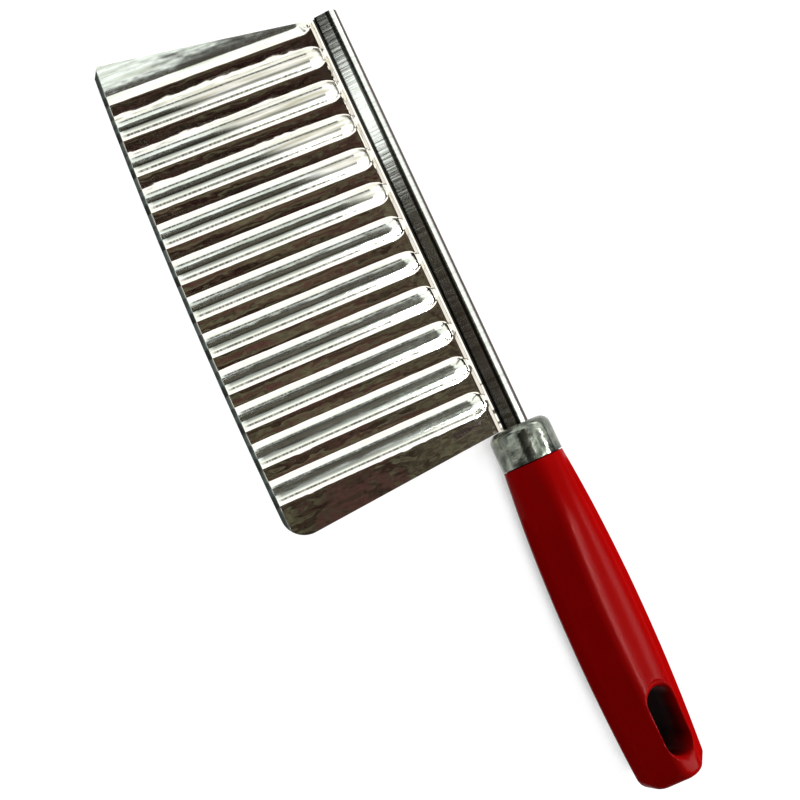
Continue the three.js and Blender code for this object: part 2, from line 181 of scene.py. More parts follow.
tip_clip_top = edge_y(-TIP_LEAN) + TIP_CLIP_UP
tip_clip_end = TIP_CLIP_ALONG - TIP_LEAN
clip_from = Vector((TIP_LEAN * tip_clip_top / TIP_HEIGHT, tip_clip_top, 0))
clip_to = Vector((tip_clip_end, edge_y(tip_clip_end), 0))
heel_corner = Vector((SPINE_LENGTH + HEEL_LEAN, -HEEL_HEIGHT, 0))
heel_out = Vector((HEEL_HEIGHT, HEEL_LEAN, 0)).normalized()
cuts = [
    (Vector((0, 0, 0)), Vector((-TIP_HEIGHT, TIP_LEAN, 0))),
    (clip_from, Vector((clip_to.y - clip_from.y, clip_from.x - clip_to.x, 0))),
    (heel_corner, heel_out),
]
edge_slope = (edge_y(heel_corner.x) - edge_y(heel_corner.x - mm)) / mm
edge_out = Vector((edge_slope, -1, 0)).normalized()
heel_centre = heel_corner - (edge_out + heel_out) * HEEL_RADIUS / (1 + edge_out.dot(heel_out))
for step in range(1, 12):
    outward = edge_out.slerp(heel_out, step / 12)
    cuts.append((heel_centre + outward * HEEL_RADIUS, outward))
for place, outward in cuts:
    whole = blade.verts[:] + blade.edges[:] + blade.faces[:]
    bmesh.ops.bisect_plane(blade, geom=whole, dist=1e-7, plane_co=place, plane_no=outward, clear_outer=True)

top_verts = blade.verts[:]
copied = bmesh.ops.duplicate(blade, geom=blade.verts[:] + blade.edges[:] + blade.faces[:])["geom"]
under_verts = [part for part in copied if isinstance(part, bmesh.types.BMVert)]
under_faces = [part for part in copied if isinstance(part, bmesh.types.BMFace)]
bmesh.ops.translate(blade, verts=under_verts, vec=(0, 0, -SHEET / 2))
bmesh.ops.reverse_faces(blade, faces=under_faces)
for vert in top_verts:
    thinned = 1 - min(max((vert.co.y - edge_y(vert.co.x)) / BEVEL_WIDTH, 0), 1)
    vert.co.z += SHEET / 2 - (SHEET - EDGE_LAND) * thinned
    vert[ground_layer] = min(thinned * GROUND_SHARPNESS, 1)
bmesh.ops.bridge_loops(blade, edges=[edge for edge in blade.edges if edge.is_boundary])
bmesh.ops.recalc_face_normals(blade, faces=blade.faces[:])


def linear(colour):
    shares = [int(colour[at:at + 2], 16) / 255 for at in (1, 3, 5)]
    return [share / 12.92 if share <= 0.04045 else ((share + 0.055) / 1.055) ** 2.4 for share in shares] + [1]


def add_node(tree, kind, inputs, **settings):
    node = tree.nodes.new(kind)
    for name, value in settings.items():
        setattr(node, name, value)
    for socket, value in inputs.items():
        if isinstance(value, bpy.types.NodeSocket):
            tree.links.new(value, node.inputs[socket])
        else:
            node.inputs[socket].default_value = value
    return node


def finished(bm, name, material, turn_angle):
    bmesh.ops.transform(bm, matrix=LYING, verts=bm.verts[:])
    mesh = bpy.data.meshes.new(name)
    bm.to_mesh(mesh)
    bm.free()
    mesh.shade_smooth()
    mesh.set_sharp_from_angle(angle=math.radians(turn_angle))
    mesh.materials.append(material)
    piece = bpy.data.objects.new(name, mesh)
    bpy.context.scene.collection.objects.link(piece)
    return piece


# Bright rolled stainless: a near mirror, a little wavy from stamping, with rolling grain along the blade and fine
# streaks along the waves. The crests are greyer and rubbed satin towards the tip's back corner, and painted shade
# darkens their edges. A painted dark reflection line runs along each flank, and the ground edge is a matt dark grey.
steel = bpy.data.materials.new("Bright rolled stainless steel")
steel.use_nodes = True
tree = steel.node_tree
shader = tree.nodes["Principled BSDF"]
place = add_node(tree, "ShaderNodeTexCoord", {})
dents = add_node(tree, "ShaderNodeMapping", {"Vector": place.outputs["Object"], "Scale": (1 / 0.005, 1 / 0.009, 20)})
dent = add_node(tree, "ShaderNodeTexNoise", {"Vector": dents.outputs["Vector"], "Scale": 1, "Detail": 2})
grains = add_node(tree, "ShaderNodeMapping", {
    "Vector": place.outputs["Object"], "Scale": (1 / 0.004, 1 / 0.0005, 900)})
grain = add_node(tree, "ShaderNodeTexNoise", {"Vector": grains.outputs["Vector"], "Scale": 1, "Detail": 3})
lines = add_node(tree, "ShaderNodeMapping", {"Vector": place.outputs["Object"], "Scale": (1 / 0.0009, 1 / 0.016, 20)})
line = add_node(tree, "ShaderNodeTexNoise", {"Vector": lines.outputs["Vector"], "Scale": 1, "Detail": 3})
streak = add_node(tree, "ShaderNodeMapRange", {"Value": line.outputs["Fac"], "From Min": 0.35, "From Max": 0.65})
crest = add_node(tree, "ShaderNodeAttribute", {}, attribute_name="crest")
ground = add_node(tree, "ShaderNodeAttribute", {}, attribute_name="ground")
scuff = add_node(tree, "ShaderNodeAttribute", {}, attribute_name="scuff")
high_tone = add_node(tree, "ShaderNodeMix", {
    "Factor": streak.outputs["Result"], "A": linear("#B6BCB0"), "B": linear("#DCE2DC")}, data_type="RGBA")
tone = add_node(tree, "ShaderNodeMix", {
    "Factor": crest.outputs["Fac"], "A": linear("#E2DCD0"), "B": high_tone.outputs[2]}, data_type="RGBA")
rubbed = add_node(tree, "ShaderNodeMix", {
    "Factor": streak.outputs["Result"], "A": linear("#C0BCA8"), "B": linear("#F8F6F0")}, data_type="RGBA")
tone = add_node(tree, "ShaderNodeMix", {
    "Factor": scuff.outputs["Fac"], "A": tone.outputs[2], "B": rubbed.outputs[2]}, data_type="RGBA")
tone = add_node(tree, "ShaderNodeMix", {
    "Factor": ground.outputs["Fac"], "A": tone.outputs[2], "B": linear("#3E4542")}, data_type="RGBA")
# Painted shade along the crests' edges.
painted_edge_shade = add_node(tree, "ShaderNodeAttribute", {}, attribute_name="painted_edge_shade")
tone = add_node(tree, "ShaderNodeMix", {
    "Factor": painted_edge_shade.outputs["Fac"], "A": tone.outputs[2], "B": linear("#4A4C44")}, data_type="RGBA")
# Painted dark reflection line along each flank, broken up by the grain.
reflection_line_offset = add_node(tree, "ShaderNodeAttribute", {}, attribute_name="reflection_line_offset")
from_reflection_line = add_node(tree, "ShaderNodeMath", {0: reflection_line_offset.outputs["Fac"]}, operation="ABSOLUTE")
painted_reflection_line = add_node(tree, "ShaderNodeMapRange", {
    "Value": from_reflection_line.outputs[0], "From Min": 0.06, "From Max": 0.14, "To Min": 1, "To Max": 0})
broken = add_node(tree, "ShaderNodeMapRange", {
    "Value": grain.outputs["Fac"], "From Min": 0.35, "From Max": 0.6, "To Min": 0.55, "To Max": 0.95})
lined = add_node(tree, "ShaderNodeAttribute", {}, attribute_name="lined")
for share in (broken.outputs[0], lined.outputs["Fac"]):
    painted_reflection_line = add_node(tree, "ShaderNodeMath", {0: painted_reflection_line.outputs[0], 1: share}, operation="MULTIPLY")
tone = add_node(tree, "ShaderNodeMix", {
    "Factor": painted_reflection_line.outputs[0], "A": tone.outputs[2], "B": linear("#2E2F2A")}, data_type="RGBA")
tree.links.new(tone.outputs[2], shader.inputs["Base Color"])
rough = add_node(tree, "ShaderNodeMapRange", {"Value": crest.outputs["Fac"], "To Min": 0.05, "To Max": 0.16})
for cause, amount in ((grain, 0.06), (ground, 0.25), (scuff, 0.34)):
    rough = add_node(tree, "ShaderNodeMath", {0: cause.outputs["Fac"], 1: amount, 2: rough.outputs[0]},
                     operation="MULTIPLY_ADD")
tree.links.new(rough.outputs[0], shader.inputs["Roughness"])
waviness = add_node(tree, "ShaderNodeBump", {
    "Height": dent.outputs["Fac"], "Strength": 0.8, "Distance": 0.0003})
brushed = add_node(tree, "ShaderNodeBump", {
    "Height": grain.outputs["Fac"], "Strength": 0.10, "Distance": 0.00003, "Normal": waviness.outputs["Normal"]})
tree.links.new(brushed.outputs["Normal"], shader.inputs["Normal"])
shader.inputs["Metallic"].default_value = 1

blade_piece = finished(blade, "crinkle_blade", steel, 24)
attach(blade_piece, "root")
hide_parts("blade")

# Spine strip: stainless strip folded over the blade's back edge like the back of a saw. Its free edges pinch the
# sheet, and it runs on through the ferrule as the tang.
STRIP_SHEET = 0.7 * mm
STRIP_DEPTH = 7 * mm
STRIP_RADIUS = 2.6 * mm
FOLD_STEPS = 24
PINCH = 0.65 * mm
TANG_END = 170 * mm
FOLD_Y = STRIP_DEPTH - STRIP_RADIUS
half_open = PINCH + STRIP_SHEET
touch = math.pi - math.atan2(half_open, FOLD_Y) - math.acos(STRIP_RADIUS / math.hypot(FOLD_Y, half_open))

strip = bmesh.new()
fold_start = strip.verts.new((0, FOLD_Y + STRIP_RADIUS * math.cos(touch), -STRIP_RADIUS * math.sin(touch)))
fold = bmesh.ops.spin(
    strip, geom=[fold_start], cent=(0, FOLD_Y, 0), axis=(1, 0, 0), angle=2 * touch, steps=FOLD_STEPS)
fold_end = [part for part in fold["geom_last"] if isinstance(part, bmesh.types.BMVert)][0]
for end, height in ((fold_start, -half_open), (fold_end, half_open)):
    strip.edges.new((end, strip.verts.new((0, 0, height))))
drawn = bmesh.ops.extrude_edge_only(strip, edges=strip.edges[:])["geom"]
bmesh.ops.translate(strip, verts=[p for p in drawn if isinstance(p, bmesh.types.BMVert)], vec=(TANG_END, 0, 0))
bmesh.ops.recalc_face_normals(strip, faces=strip.faces[:])
outward = sum((face.normal.dot(face.calc_center_median() - Vector((0, FOLD_Y, 0))) for face in strip.faces))
if outward < 0:
    bmesh.ops.reverse_faces(strip, faces=strip.faces[:])
bmesh.ops.solidify(strip, geom=strip.faces[:], thickness=STRIP_SHEET)
bmesh.ops.recalc_face_normals(strip, faces=strip.faces[:])
across_layer = strip.verts.layers.float.new("across")
for vert in strip.verts:
    vert[across_layer] = vert.co.y / STRIP_DEPTH

# The same rolled stainless, with the roller's marks across the strip, a painted shadow line along the pinch, a
# painted dark reflection line at the bend and a painted brown reflection down the fold's back.
strip_steel = bpy.data.materials.new("Folded stainless steel strip")
strip_steel.use_nodes = True
tree = strip_steel.node_tree
shader = tree.nodes["Principled BSDF"]
place = add_node(tree, "ShaderNodeTexCoord", {})
marks = add_node(tree, "ShaderNodeMapping", {"Vector": place.outputs["Object"], "Scale": (1 / 0.0007, 40, 40)})
mark = add_node(tree, "ShaderNodeTexNoise", {"Vector": marks.outputs["Vector"], "Scale": 1, "Detail": 3})
tone = add_node(tree, "ShaderNodeMix", {
    "Factor": mark.outputs["Fac"], "A": linear("#A4AAA2"), "B": linear("#ECEEE8")}, data_type="RGBA")
across = add_node(tree, "ShaderNodeAttribute", {}, attribute_name="across")
# Painted shadow along the pinch, a painted dark reflection line at the bend and a painted brown reflection down the
# fold's back.
for middle, reach, colour in ((0, 0.1, "#1C1E1A"), (0.52, 0.08, "#3A403C"), (1, 0.24, "#4A3832")):
    apart = add_node(tree, "ShaderNodeMath", {0: across.outputs["Fac"], 1: middle}, operation="SUBTRACT")
    apart = add_node(tree, "ShaderNodeMath", {0: apart.outputs[0]}, operation="ABSOLUTE")
    painted_line_share = add_node(tree, "ShaderNodeMapRange", {
        "Value": apart.outputs[0], "From Min": reach / 2, "From Max": reach, "To Min": 1, "To Max": 0})
    tone = add_node(tree, "ShaderNodeMix", {
        "Factor": painted_line_share.outputs["Result"], "A": tone.outputs[2], "B": linear(colour)}, data_type="RGBA")
tree.links.new(tone.outputs[2], shader.inputs["Base Color"])
rough = add_node(tree, "ShaderNodeMapRange", {"Value": mark.outputs["Fac"], "To Min": 0.08, "To Max": 0.2})
tree.links.new(rough.outputs["Result"], shader.inputs["Roughness"])
ridged = add_node(tree, "ShaderNodeBump", {"Height": mark.outputs["Fac"], "Strength": 0.8, "Distance": 0.00003})
tree.links.new(ridged.outputs["Normal"], shader.inputs["Normal"])
shader.inputs["Metallic"].default_value = 1

strip_piece = finished(strip, "folded_spine_strip", strip_steel, 30)
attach(strip_piece, "root")
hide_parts("spine_strip")

# Ferrule: a thin drawn cap with a small rounded shoulder, pressed on the handle's neck. The strip passes through a
# slot in its front.
FIT = 0.3 * mm
AXIS_Y = STRIP_DEPTH / 2
FERRULE_FRONT = SPINE_LENGTH + 0.3 * mm
FERRULE_LENGTH = 10.3 * mm
FERRULE_WALL = 0.7 * mm
FERRULE_SHOULDER = 2.8 * mm
SEAM = FERRULE_FRONT + FERRULE_LENGTH
SEAM_HALF_WIDTH = 8.6 * mm
SEAM_HALF_DEPTH = 8.2 * mm
SEAM_FACET = 5.1 * mm
SEAM_ROUNDING = 6.5 * mm
ROUND_STEPS = 8


# One ring of an eight-sided section with rounded corners, as a closed chain of edges.
def eight_sided(bm, edge_side, spine_side, half_depth, facet, rounding, place):
    known = set(bm.faces)
    corners = bmesh.ops.create_circle(bm, cap_ends=True, segments=8, radius=1)["verts"]
    low, high = facet - half_depth, half_depth - facet
    spots = [
        (spine_side, low), (spine_side, high), (spine_side - facet, half_depth), (facet - edge_side, half_depth),
        (-edge_side, high), (-edge_side, low), (facet - edge_side, -half_depth), (spine_side - facet, -half_depth)]
    for corner, (across, up) in zip(corners, spots):
        corner.co = place(across, up)
    bmesh.ops.bevel(bm, geom=corners, offset=rounding * math.tan(math.pi / 8), offset_type="OFFSET",
                    affect="VERTICES", segments=ROUND_STEPS, profile=0.5, material=-1)
    cap = next(face for face in bm.faces if face not in known)
    ring = cap.edges[:]
    bmesh.ops.delete(bm, geom=[cap], context="FACES_ONLY")
    return ring


def skinned(bm, rings):
    for before, after in zip(rings, rings[1:]):
        bmesh.ops.bridge_loops(bm, edges=before + after)
    for end in (rings[0], rings[-1]):
        bmesh.ops.contextual_create(bm, geom=end)
    bmesh.ops.recalc_face_normals(bm, faces=bm.faces[:])


def cap_ring(bm, x, inset):
    return eight_sided(
        bm, SEAM_HALF_WIDTH - inset, SEAM_HALF_WIDTH - inset, SEAM_HALF_DEPTH - inset,
        SEAM_FACET * (1 - inset / SEAM_HALF_WIDTH), SEAM_ROUNDING * (1 - inset / SEAM_HALF_WIDTH),
        lambda across, up: Vector((x, AXIS_Y + across, up)))


def subtracted(piece, cutter):
    cut = piece.modifiers.new("Cut", "BOOLEAN")
    cut.object = cutter
    cut.solver = "EXACT"
    left = bpy.data.meshes.new_from_object(piece.evaluated_get(bpy.context.evaluated_depsgraph_get()))
    piece.modifiers.clear()
    piece.data = left
    bpy.data.objects.remove(cutter)


# Block of the strip's outside with its clearance, for the slot in the ferrule and the socket in the handle.
def strip_room(start, end):
    room = bmesh.new()
    radius = STRIP_RADIUS + FIT
    first = room.verts.new((start, FOLD_Y, -radius))
    fold = bmesh.ops.spin(
        room, geom=[first], cent=(start, FOLD_Y, 0), axis=(1, 0, 0), angle=math.pi, steps=2 * ROUND_STEPS)
    last = [part for part in fold["geom_last"] if isinstance(part, bmesh.types.BMVert)][0]
    low, high = (room.verts.new((start, -FIT, side * (half_open + FIT))) for side in (-1, 1))
    for pair in ((first, low), (low, high), (high, last)):
        room.edges.new(pair)
    face = bmesh.ops.contextual_create(room, geom=room.edges[:])["faces"]
    long = bmesh.ops.extrude_face_region(room, geom=face)["geom"]
    bmesh.ops.translate(room, verts=[p for p in long if isinstance(p, bmesh.types.BMVert)], vec=(end - start, 0, 0))
    bmesh.ops.recalc_face_normals(room, faces=room.faces[:])
    return finished(room, "strip_room", steel, 30)


cap = bmesh.new()
wall_rings = [cap_ring(cap, SEAM, FERRULE_WALL)]
inner = FERRULE_SHOULDER - FERRULE_WALL
for step in range(ROUND_STEPS + 1):
    angle = math.pi / 2 * step / ROUND_STEPS
    wall_rings.append(cap_ring(cap, FERRULE_FRONT + FERRULE_SHOULDER - inner * math.sin(angle),
                               FERRULE_WALL + inner * (1 - math.cos(angle))))
outer_rings = [cap_ring(cap, SEAM, 0)]
for step in range(ROUND_STEPS + 1):
    angle = math.pi / 2 * step / ROUND_STEPS
    outer_rings.append(cap_ring(cap, FERRULE_FRONT + FERRULE_SHOULDER * (1 - math.sin(angle)),
                                FERRULE_SHOULDER * (1 - math.cos(angle))))
skinned(cap, list(reversed(wall_rings)) + outer_rings)

# Drawn and tumbled aluminium: satin, with cloudy darker and lighter patches and a faintly dented face.
aluminium = bpy.data.materials.new("Drawn satin aluminium")
aluminium.use_nodes = True
tree = aluminium.node_tree
shader = tree.nodes["Principled BSDF"]
place = add_node(tree, "ShaderNodeTexCoord", {})
patches = add_node(tree, "ShaderNodeTexNoise", {"Vector": place.outputs["Object"], "Scale": 1 / 0.003, "Detail": 5})
patch_share = add_node(tree, "ShaderNodeMapRange", {
    "Value": patches.outputs["Fac"], "From Min": 0.35, "From Max": 0.65})
tone = add_node(tree, "ShaderNodeMix", {
    "Factor": patch_share.outputs["Result"], "A": linear("#474C45"), "B": linear("#878B80")}, data_type="RGBA")
tree.links.new(tone.outputs[2], shader.inputs["Base Color"])
rough = add_node(tree, "ShaderNodeMapRange", {"Value": patches.outputs["Fac"], "To Min": 0.1, "To Max": 0.24})
tree.links.new(rough.outputs["Result"], shader.inputs["Roughness"])
tumbled = add_node(tree, "ShaderNodeBump", {"Height": patches.outputs["Fac"], "Strength": 0.8, "Distance": 0.0002})
tree.links.new(tumbled.outputs["Normal"], shader.inputs["Normal"])
shader.inputs["Metallic"].default_value = 1

ferrule_piece = finished(cap, "drawn_ferrule", aluminium, 30)
subtracted(ferrule_piece, strip_room(FERRULE_FRONT - mm, FERRULE_FRONT + 2 * FERRULE_WALL))
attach(ferrule_piece, "root")
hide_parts("ferrule")

# Handle: one moulded red grip, eight-sided with rounded edges and near round at the ferrule. It is turned a little on
# the tang, and an oblong hang slot with a rounded rim goes through near the butt.
SHOULDER = SEAM + FIT
HANDLE_LENGTH = 88 * mm
HANDLE_TURN = math.radians(15.5)
HANDLE_DROP = 1.2 * mm
GRIP_HALF_WIDTH = 10.9 * mm
GRIP_HALF_DEPTH = 9.6 * mm
GRIP_FACET = 6.1 * mm
GRIP_ROUNDING = 5 * mm
BUTT_ROUNDING = 3.2 * mm
GRIP_CROWN = 0.4 * mm
TOP_FACING = 0.9
MOST_ROUNDED = 0.48
GRIP_START = 20 * mm
BELLY_AT = 45 * mm
BUTT_HALF_WIDTH = 8.8 * mm
BUTT_EDGE_SIDE_RADIUS = 4 * mm
BUTT_RADIUS = 1.5 * mm
BUTT_LEAN = 2.6 * mm
SLOT_LENGTH = 18 * mm
SLOT_WIDTH = 8.2 * mm
SLOT_TO_BUTT = 5.9 * mm
SLOT_RIM = 1.2 * mm


def grip_axis(x):
    return AXIS_Y - HANDLE_DROP * (x - SHOULDER) / HANDLE_LENGTH


def drawn_in(along, radius):
    into = max(along - HANDLE_LENGTH + radius, 0)
    return radius - math.sqrt(max(radius * radius - into * into, 0))


def grip_ring(bm, along):
    swell = math.sin(min(along / GRIP_START, 1) * math.pi / 2)
    if along < BELLY_AT:
        full = SEAM_HALF_WIDTH + (GRIP_HALF_WIDTH - SEAM_HALF_WIDTH) * math.sin(along / BELLY_AT * math.pi / 2)
    else:
        past = (along - BELLY_AT) / (HANDLE_LENGTH - BELLY_AT)
        full = GRIP_HALF_WIDTH + (BUTT_HALF_WIDTH - GRIP_HALF_WIDTH) * past * past
    depth = SEAM_HALF_DEPTH + (GRIP_HALF_DEPTH - SEAM_HALF_DEPTH) * swell
    half_depth = depth - drawn_in(along, BUTT_RADIUS)
    facet = (SEAM_FACET + (GRIP_FACET - SEAM_FACET) * swell) * half_depth / depth
    edge_side = full - drawn_in(along, BUTT_EDGE_SIDE_RADIUS)
    spine_side = full - drawn_in(along, BUTT_RADIUS)
    past_belly = min(max((along - BELLY_AT) / (HANDLE_LENGTH - BELLY_AT), 0), 1)
    lean = BUTT_LEAN * past_belly * past_belly * (3 - 2 * past_belly) / (2 * BUTT_HALF_WIDTH)
    rounding = SEAM_ROUNDING + (GRIP_ROUNDING - SEAM_ROUNDING) * swell
    rounding += (BUTT_ROUNDING - GRIP_ROUNDING) * past_belly
    rounding = min(rounding, MOST_ROUNDED * (edge_side + spine_side - 2 * facet) / math.tan(math.pi / 8))

    def turned(across, up):
        x = SHOULDER + along - lean * across
        return Vector((
            x,
            grip_axis(x) + across * math.cos(HANDLE_TURN) + up * math.sin(HANDLE_TURN),
            up * math.cos(HANDLE_TURN) - across * math.sin(HANDLE_TURN)))

    return eight_sided(bm, edge_side, spine_side, half_depth, facet, rounding, turned)


grip = bmesh.new()
neck_inset = FERRULE_WALL + FIT
neck_front = FERRULE_FRONT + FERRULE_SHOULDER
rings = [cap_ring(grip, neck_front, neck_inset), cap_ring(grip, SHOULDER, neck_inset)]
round_start = HANDLE_LENGTH - BUTT_EDGE_SIDE_RADIUS
alongs = [GRIP_START * step / 12 for step in range(12)]
alongs += [GRIP_START + (round_start - GRIP_START) * step / 40 for step in range(40)]
alongs += [round_start + BUTT_EDGE_SIDE_RADIUS * math.sin(math.pi / 2 * step / 14) for step in range(15)]
rings += [grip_ring(grip, along) for along in alongs]
skinned(grip, rings)

# The top is slightly crowned along its middle.
up_turned = Vector((0, math.sin(HANDLE_TURN), math.cos(HANDLE_TURN)))
across_turned = Vector((HANDLE_LENGTH, -HANDLE_DROP, 0)).cross(up_turned).normalized()


def on_top(part):
    faces = [part] if isinstance(part, bmesh.types.BMFace) else part.link_faces
    return any(face.normal.dot(up_turned) > TOP_FACING for face in faces)


top = [part for part in grip.verts[:] + grip.edges[:] + grip.faces[:] if on_top(part)]
middle = bmesh.ops.bisect_plane(grip, geom=top, dist=1e-7, plane_co=(SHOULDER, AXIS_Y, 0), plane_no=across_turned)
for vert in middle["geom_cut"]:
    if isinstance(vert, bmesh.types.BMVert):
        along = vert.co.x - SHOULDER
        vert.co += up_turned * GRIP_CROWN * ease(along / GRIP_START) * ease((HANDLE_LENGTH - along) / GRIP_START)

slot_x = SHOULDER + HANDLE_LENGTH - SLOT_TO_BUTT - SLOT_LENGTH / 2
slot = bmesh.new()
levels = [(GRIP_HALF_DEPTH + SLOT_RIM, 2 * SLOT_RIM)]
for step in range(ROUND_STEPS + 1):
    angle = math.pi / 2 * step / ROUND_STEPS
    levels.append((GRIP_HALF_DEPTH - SLOT_RIM * (1 - math.cos(angle)), SLOT_RIM * (1 - math.sin(angle))))
levels += [(-up, grow) for up, grow in reversed(levels)]
slot_rings = []
for up, grow in levels:
    spot = Matrix.Translation((0, 0, up)) @ Matrix.Rotation(math.pi / 48, 4, "Z")
    loop = bmesh.ops.create_circle(slot, segments=48, radius=SLOT_WIDTH / 2 + grow, matrix=spot)["verts"]
    for vert in loop:
        vert.co.x += math.copysign((SLOT_LENGTH - SLOT_WIDTH) / 2, vert.co.x)
    slot_rings.append(list({edge for vert in loop for edge in vert.link_edges}))
skinned(slot, slot_rings)
slot_place = Matrix.Translation((slot_x, grip_axis(slot_x), 0)) @ Matrix.Rotation(-HANDLE_TURN, 4, "X")
bmesh.ops.transform(slot, matrix=slot_place, verts=slot.verts[:])

# Glossy moulded polypropylene: deep red, slightly uneven from the mould, with soft highlights and painted shade in
# the slot.
plastic = bpy.data.materials.new("Moulded red polypropylene")
plastic.use_nodes = True
tree = plastic.node_tree
shader = tree.nodes["Principled BSDF"]
place = add_node(tree, "ShaderNodeTexCoord", {})
clouds = add_node(tree, "ShaderNodeTexNoise", {"Vector": place.outputs["Object"], "Scale": 1 / 0.012, "Detail": 3})
tone = add_node(tree, "ShaderNodeMix", {
    "Factor": clouds.outputs["Fac"], "A": linear("#A00203"), "B": linear("#B20404")}, data_type="RGBA")
# Painted shade: the red turns near black where the surface is hemmed in, as in the slot.
depth = add_node(tree, "ShaderNodeAmbientOcclusion", {"Distance": 0.012}, samples=8)
open_share = add_node(tree, "ShaderNodeMapRange", {"Value": depth.outputs["AO"], "From Min": 0.35, "From Max": 0.75})
tone = add_node(tree, "ShaderNodeMix", {
    "Factor": open_share.outputs["Result"], "A": linear("#2A0002"), "B": tone.outputs[2]}, data_type="RGBA")
tree.links.new(tone.outputs[2], shader.inputs["Base Color"])
rough = add_node(tree, "ShaderNodeMapRange", {"Value": clouds.outputs["Fac"], "To Min": 0.16, "To Max": 0.24})
tree.links.new(rough.outputs["Result"], shader.inputs["Roughness"])
peel = add_node(tree, "ShaderNodeTexNoise", {"Vector": place.outputs["Object"], "Scale": 1 / 0.0012, "Detail": 2})
moulded = add_node(tree, "ShaderNodeBump", {"Height": peel.outputs["Fac"], "Strength": 0.12, "Distance": 0.0001})
tree.links.new(moulded.outputs["Normal"], shader.inputs["Normal"])
shader.inputs["IOR"].default_value = 1.49
shader.inputs["Specular IOR Level"].default_value = 0.008

handle_piece = finished(grip, "moulded_handle", plastic, 30)
subtracted(handle_piece, finished(slot, "slot_cutter", plastic, 30))
subtracted(handle_piece, strip_room(FERRULE_FRONT, TANG_END + FIT))
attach(handle_piece, "root")
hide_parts("handle")

# Table: a wide sheet of white paper under the cutter, which stays white in the picture and keeps a soft shadow.
TABLE_HALF = 3
TABLE_DROP = 0.05 * mm
paper = bpy.data.materials.new("White paper")
paper.use_nodes = True
tree = paper.node_tree
shader = tree.nodes["Principled BSDF"]
place = add_node(tree, "ShaderNodeTexCoord", {})
fibres = add_node(tree, "ShaderNodeTexNoise", {"Vector": place.outputs["Object"], "Scale": 1 / 0.003, "Detail": 3})
tone = add_node(tree, "ShaderNodeMix", {
    "Factor": fibres.outputs["Fac"], "A": linear("#9C9C9C"), "B": linear("#A4A4A4")}, data_type="RGBA")
tree.links.new(tone.outputs[2], shader.inputs["Base Color"])
shader.inputs["Roughness"].default_value = 0.9
shader.inputs["Specular IOR Level"].default_value = 0
rays = add_node(tree, "ShaderNodeLightPath", {})
seen = add_node(tree, "ShaderNodeMath", {0: rays.outputs["Is Camera Ray"], 1: rays.outputs["Is Glossy Ray"]},
                operation="MAXIMUM")
seen = add_node(tree, "ShaderNodeMath", {0: seen.outputs[0], 1: rays.outputs["Is Transmission Ray"]},
                operation="MAXIMUM")
# Painted shade: the glow fades where the paper is hemmed in, under the slot and along the contact.
shade = add_node(tree, "ShaderNodeAmbientOcclusion", {"Distance": 0.012}, samples=8)
lift = add_node(tree, "ShaderNodeMapRange", {
    "Value": shade.outputs["AO"], "From Min": 0.2, "From Max": 0.5, "To Max": 0.93})
lift = add_node(tree, "ShaderNodeMath", {0: seen.outputs[0], 1: lift.outputs[0]}, operation="MULTIPLY")
glow = add_node(tree, "ShaderNodeEmission", {"Strength": lift.outputs[0]})
both = add_node(tree, "ShaderNodeAddShader", {0: shader.outputs[0], 1: glow.outputs[0]})
tree.links.new(both.outputs[0], tree.nodes["Material Output"].inputs["Surface"])
table = bmesh.new()
table_place = Matrix.Translation((0, 0, -TABLE_DROP))
bmesh.ops.create_grid(table, x_segments=2, y_segments=2, size=TABLE_HALF, matrix=table_place)
table_mesh = bpy.data.meshes.new("table")
table.to_mesh(table_mesh)
table.free()
table_mesh.materials.append(paper)
table_piece = bpy.data.objects.new("table", table_mesh)
bpy.context.scene.collection.objects.link(table_piece)

# Cards that only reflections see: a mottled brown one over the blade's flats, darkest over the tip, and white ones
# round it. Past the tip and the butt they light the waves' flanks, and beyond the cutting edge the margin beside the
# strip. Small bright ones draw the highlights on the ferrule and the grip. Dark ones lie on both sides of the grip.
dark_card = bpy.data.materials.new("Mottled brown card")
dark_card.use_nodes = True
tree = dark_card.node_tree
shader = tree.nodes["Principled BSDF"]
place = add_node(tree, "ShaderNodeTexCoord", {})
blots = add_node(tree, "ShaderNodeMapping", {"Vector": place.outputs["Object"], "Scale": (1 / 0.014, 1 / 0.04, 1)})
patch = add_node(tree, "ShaderNodeTexNoise", {"Vector": blots.outputs["Vector"], "Scale": 1, "Detail": 4})
mottle = add_node(tree, "ShaderNodeMapRange", {
    "Value": patch.outputs["Fac"], "From Min": 0.3, "From Max": 0.7, "To Min": -0.5, "To Max": 0.5}, clamp=False)
along = add_node(tree, "ShaderNodeSeparateXYZ", {"Vector": place.outputs["Object"]})
apart = add_node(tree, "ShaderNodeMath", {0: along.outputs["X"], 1: 0.13}, operation="ADD")
apart = add_node(tree, "ShaderNodeMath", {0: apart.outputs[0]}, operation="ABSOLUTE")
fade = add_node(tree, "ShaderNodeMapRange", {
    "Value": apart.outputs[0], "From Min": 0.04, "From Max": 0.2, "To Min": 0.48, "To Max": 0.06})
share = add_node(tree, "ShaderNodeMath", {0: fade.outputs["Result"], 1: mottle.outputs["Result"]}, operation="ADD",
                 use_clamp=True)
tint = add_node(tree, "ShaderNodeTexNoise", {"Vector": place.outputs["Object"], "Scale": 1 / 0.045, "Detail": 3})
tinted = add_node(tree, "ShaderNodeMapRange", {"Value": tint.outputs["Fac"], "From Min": 0.42, "From Max": 0.58})
tone = add_node(tree, "ShaderNodeMix", {
    "Factor": tinted.outputs["Result"], "A": linear("#70504A"), "B": linear("#83866C")}, data_type="RGBA")
tone = add_node(tree, "ShaderNodeMix", {
    "Factor": share.outputs[0], "A": linear("#1C0A09"), "B": tone.outputs[2]}, data_type="RGBA")
tree.links.new(tone.outputs[2], shader.inputs["Emission Color"])

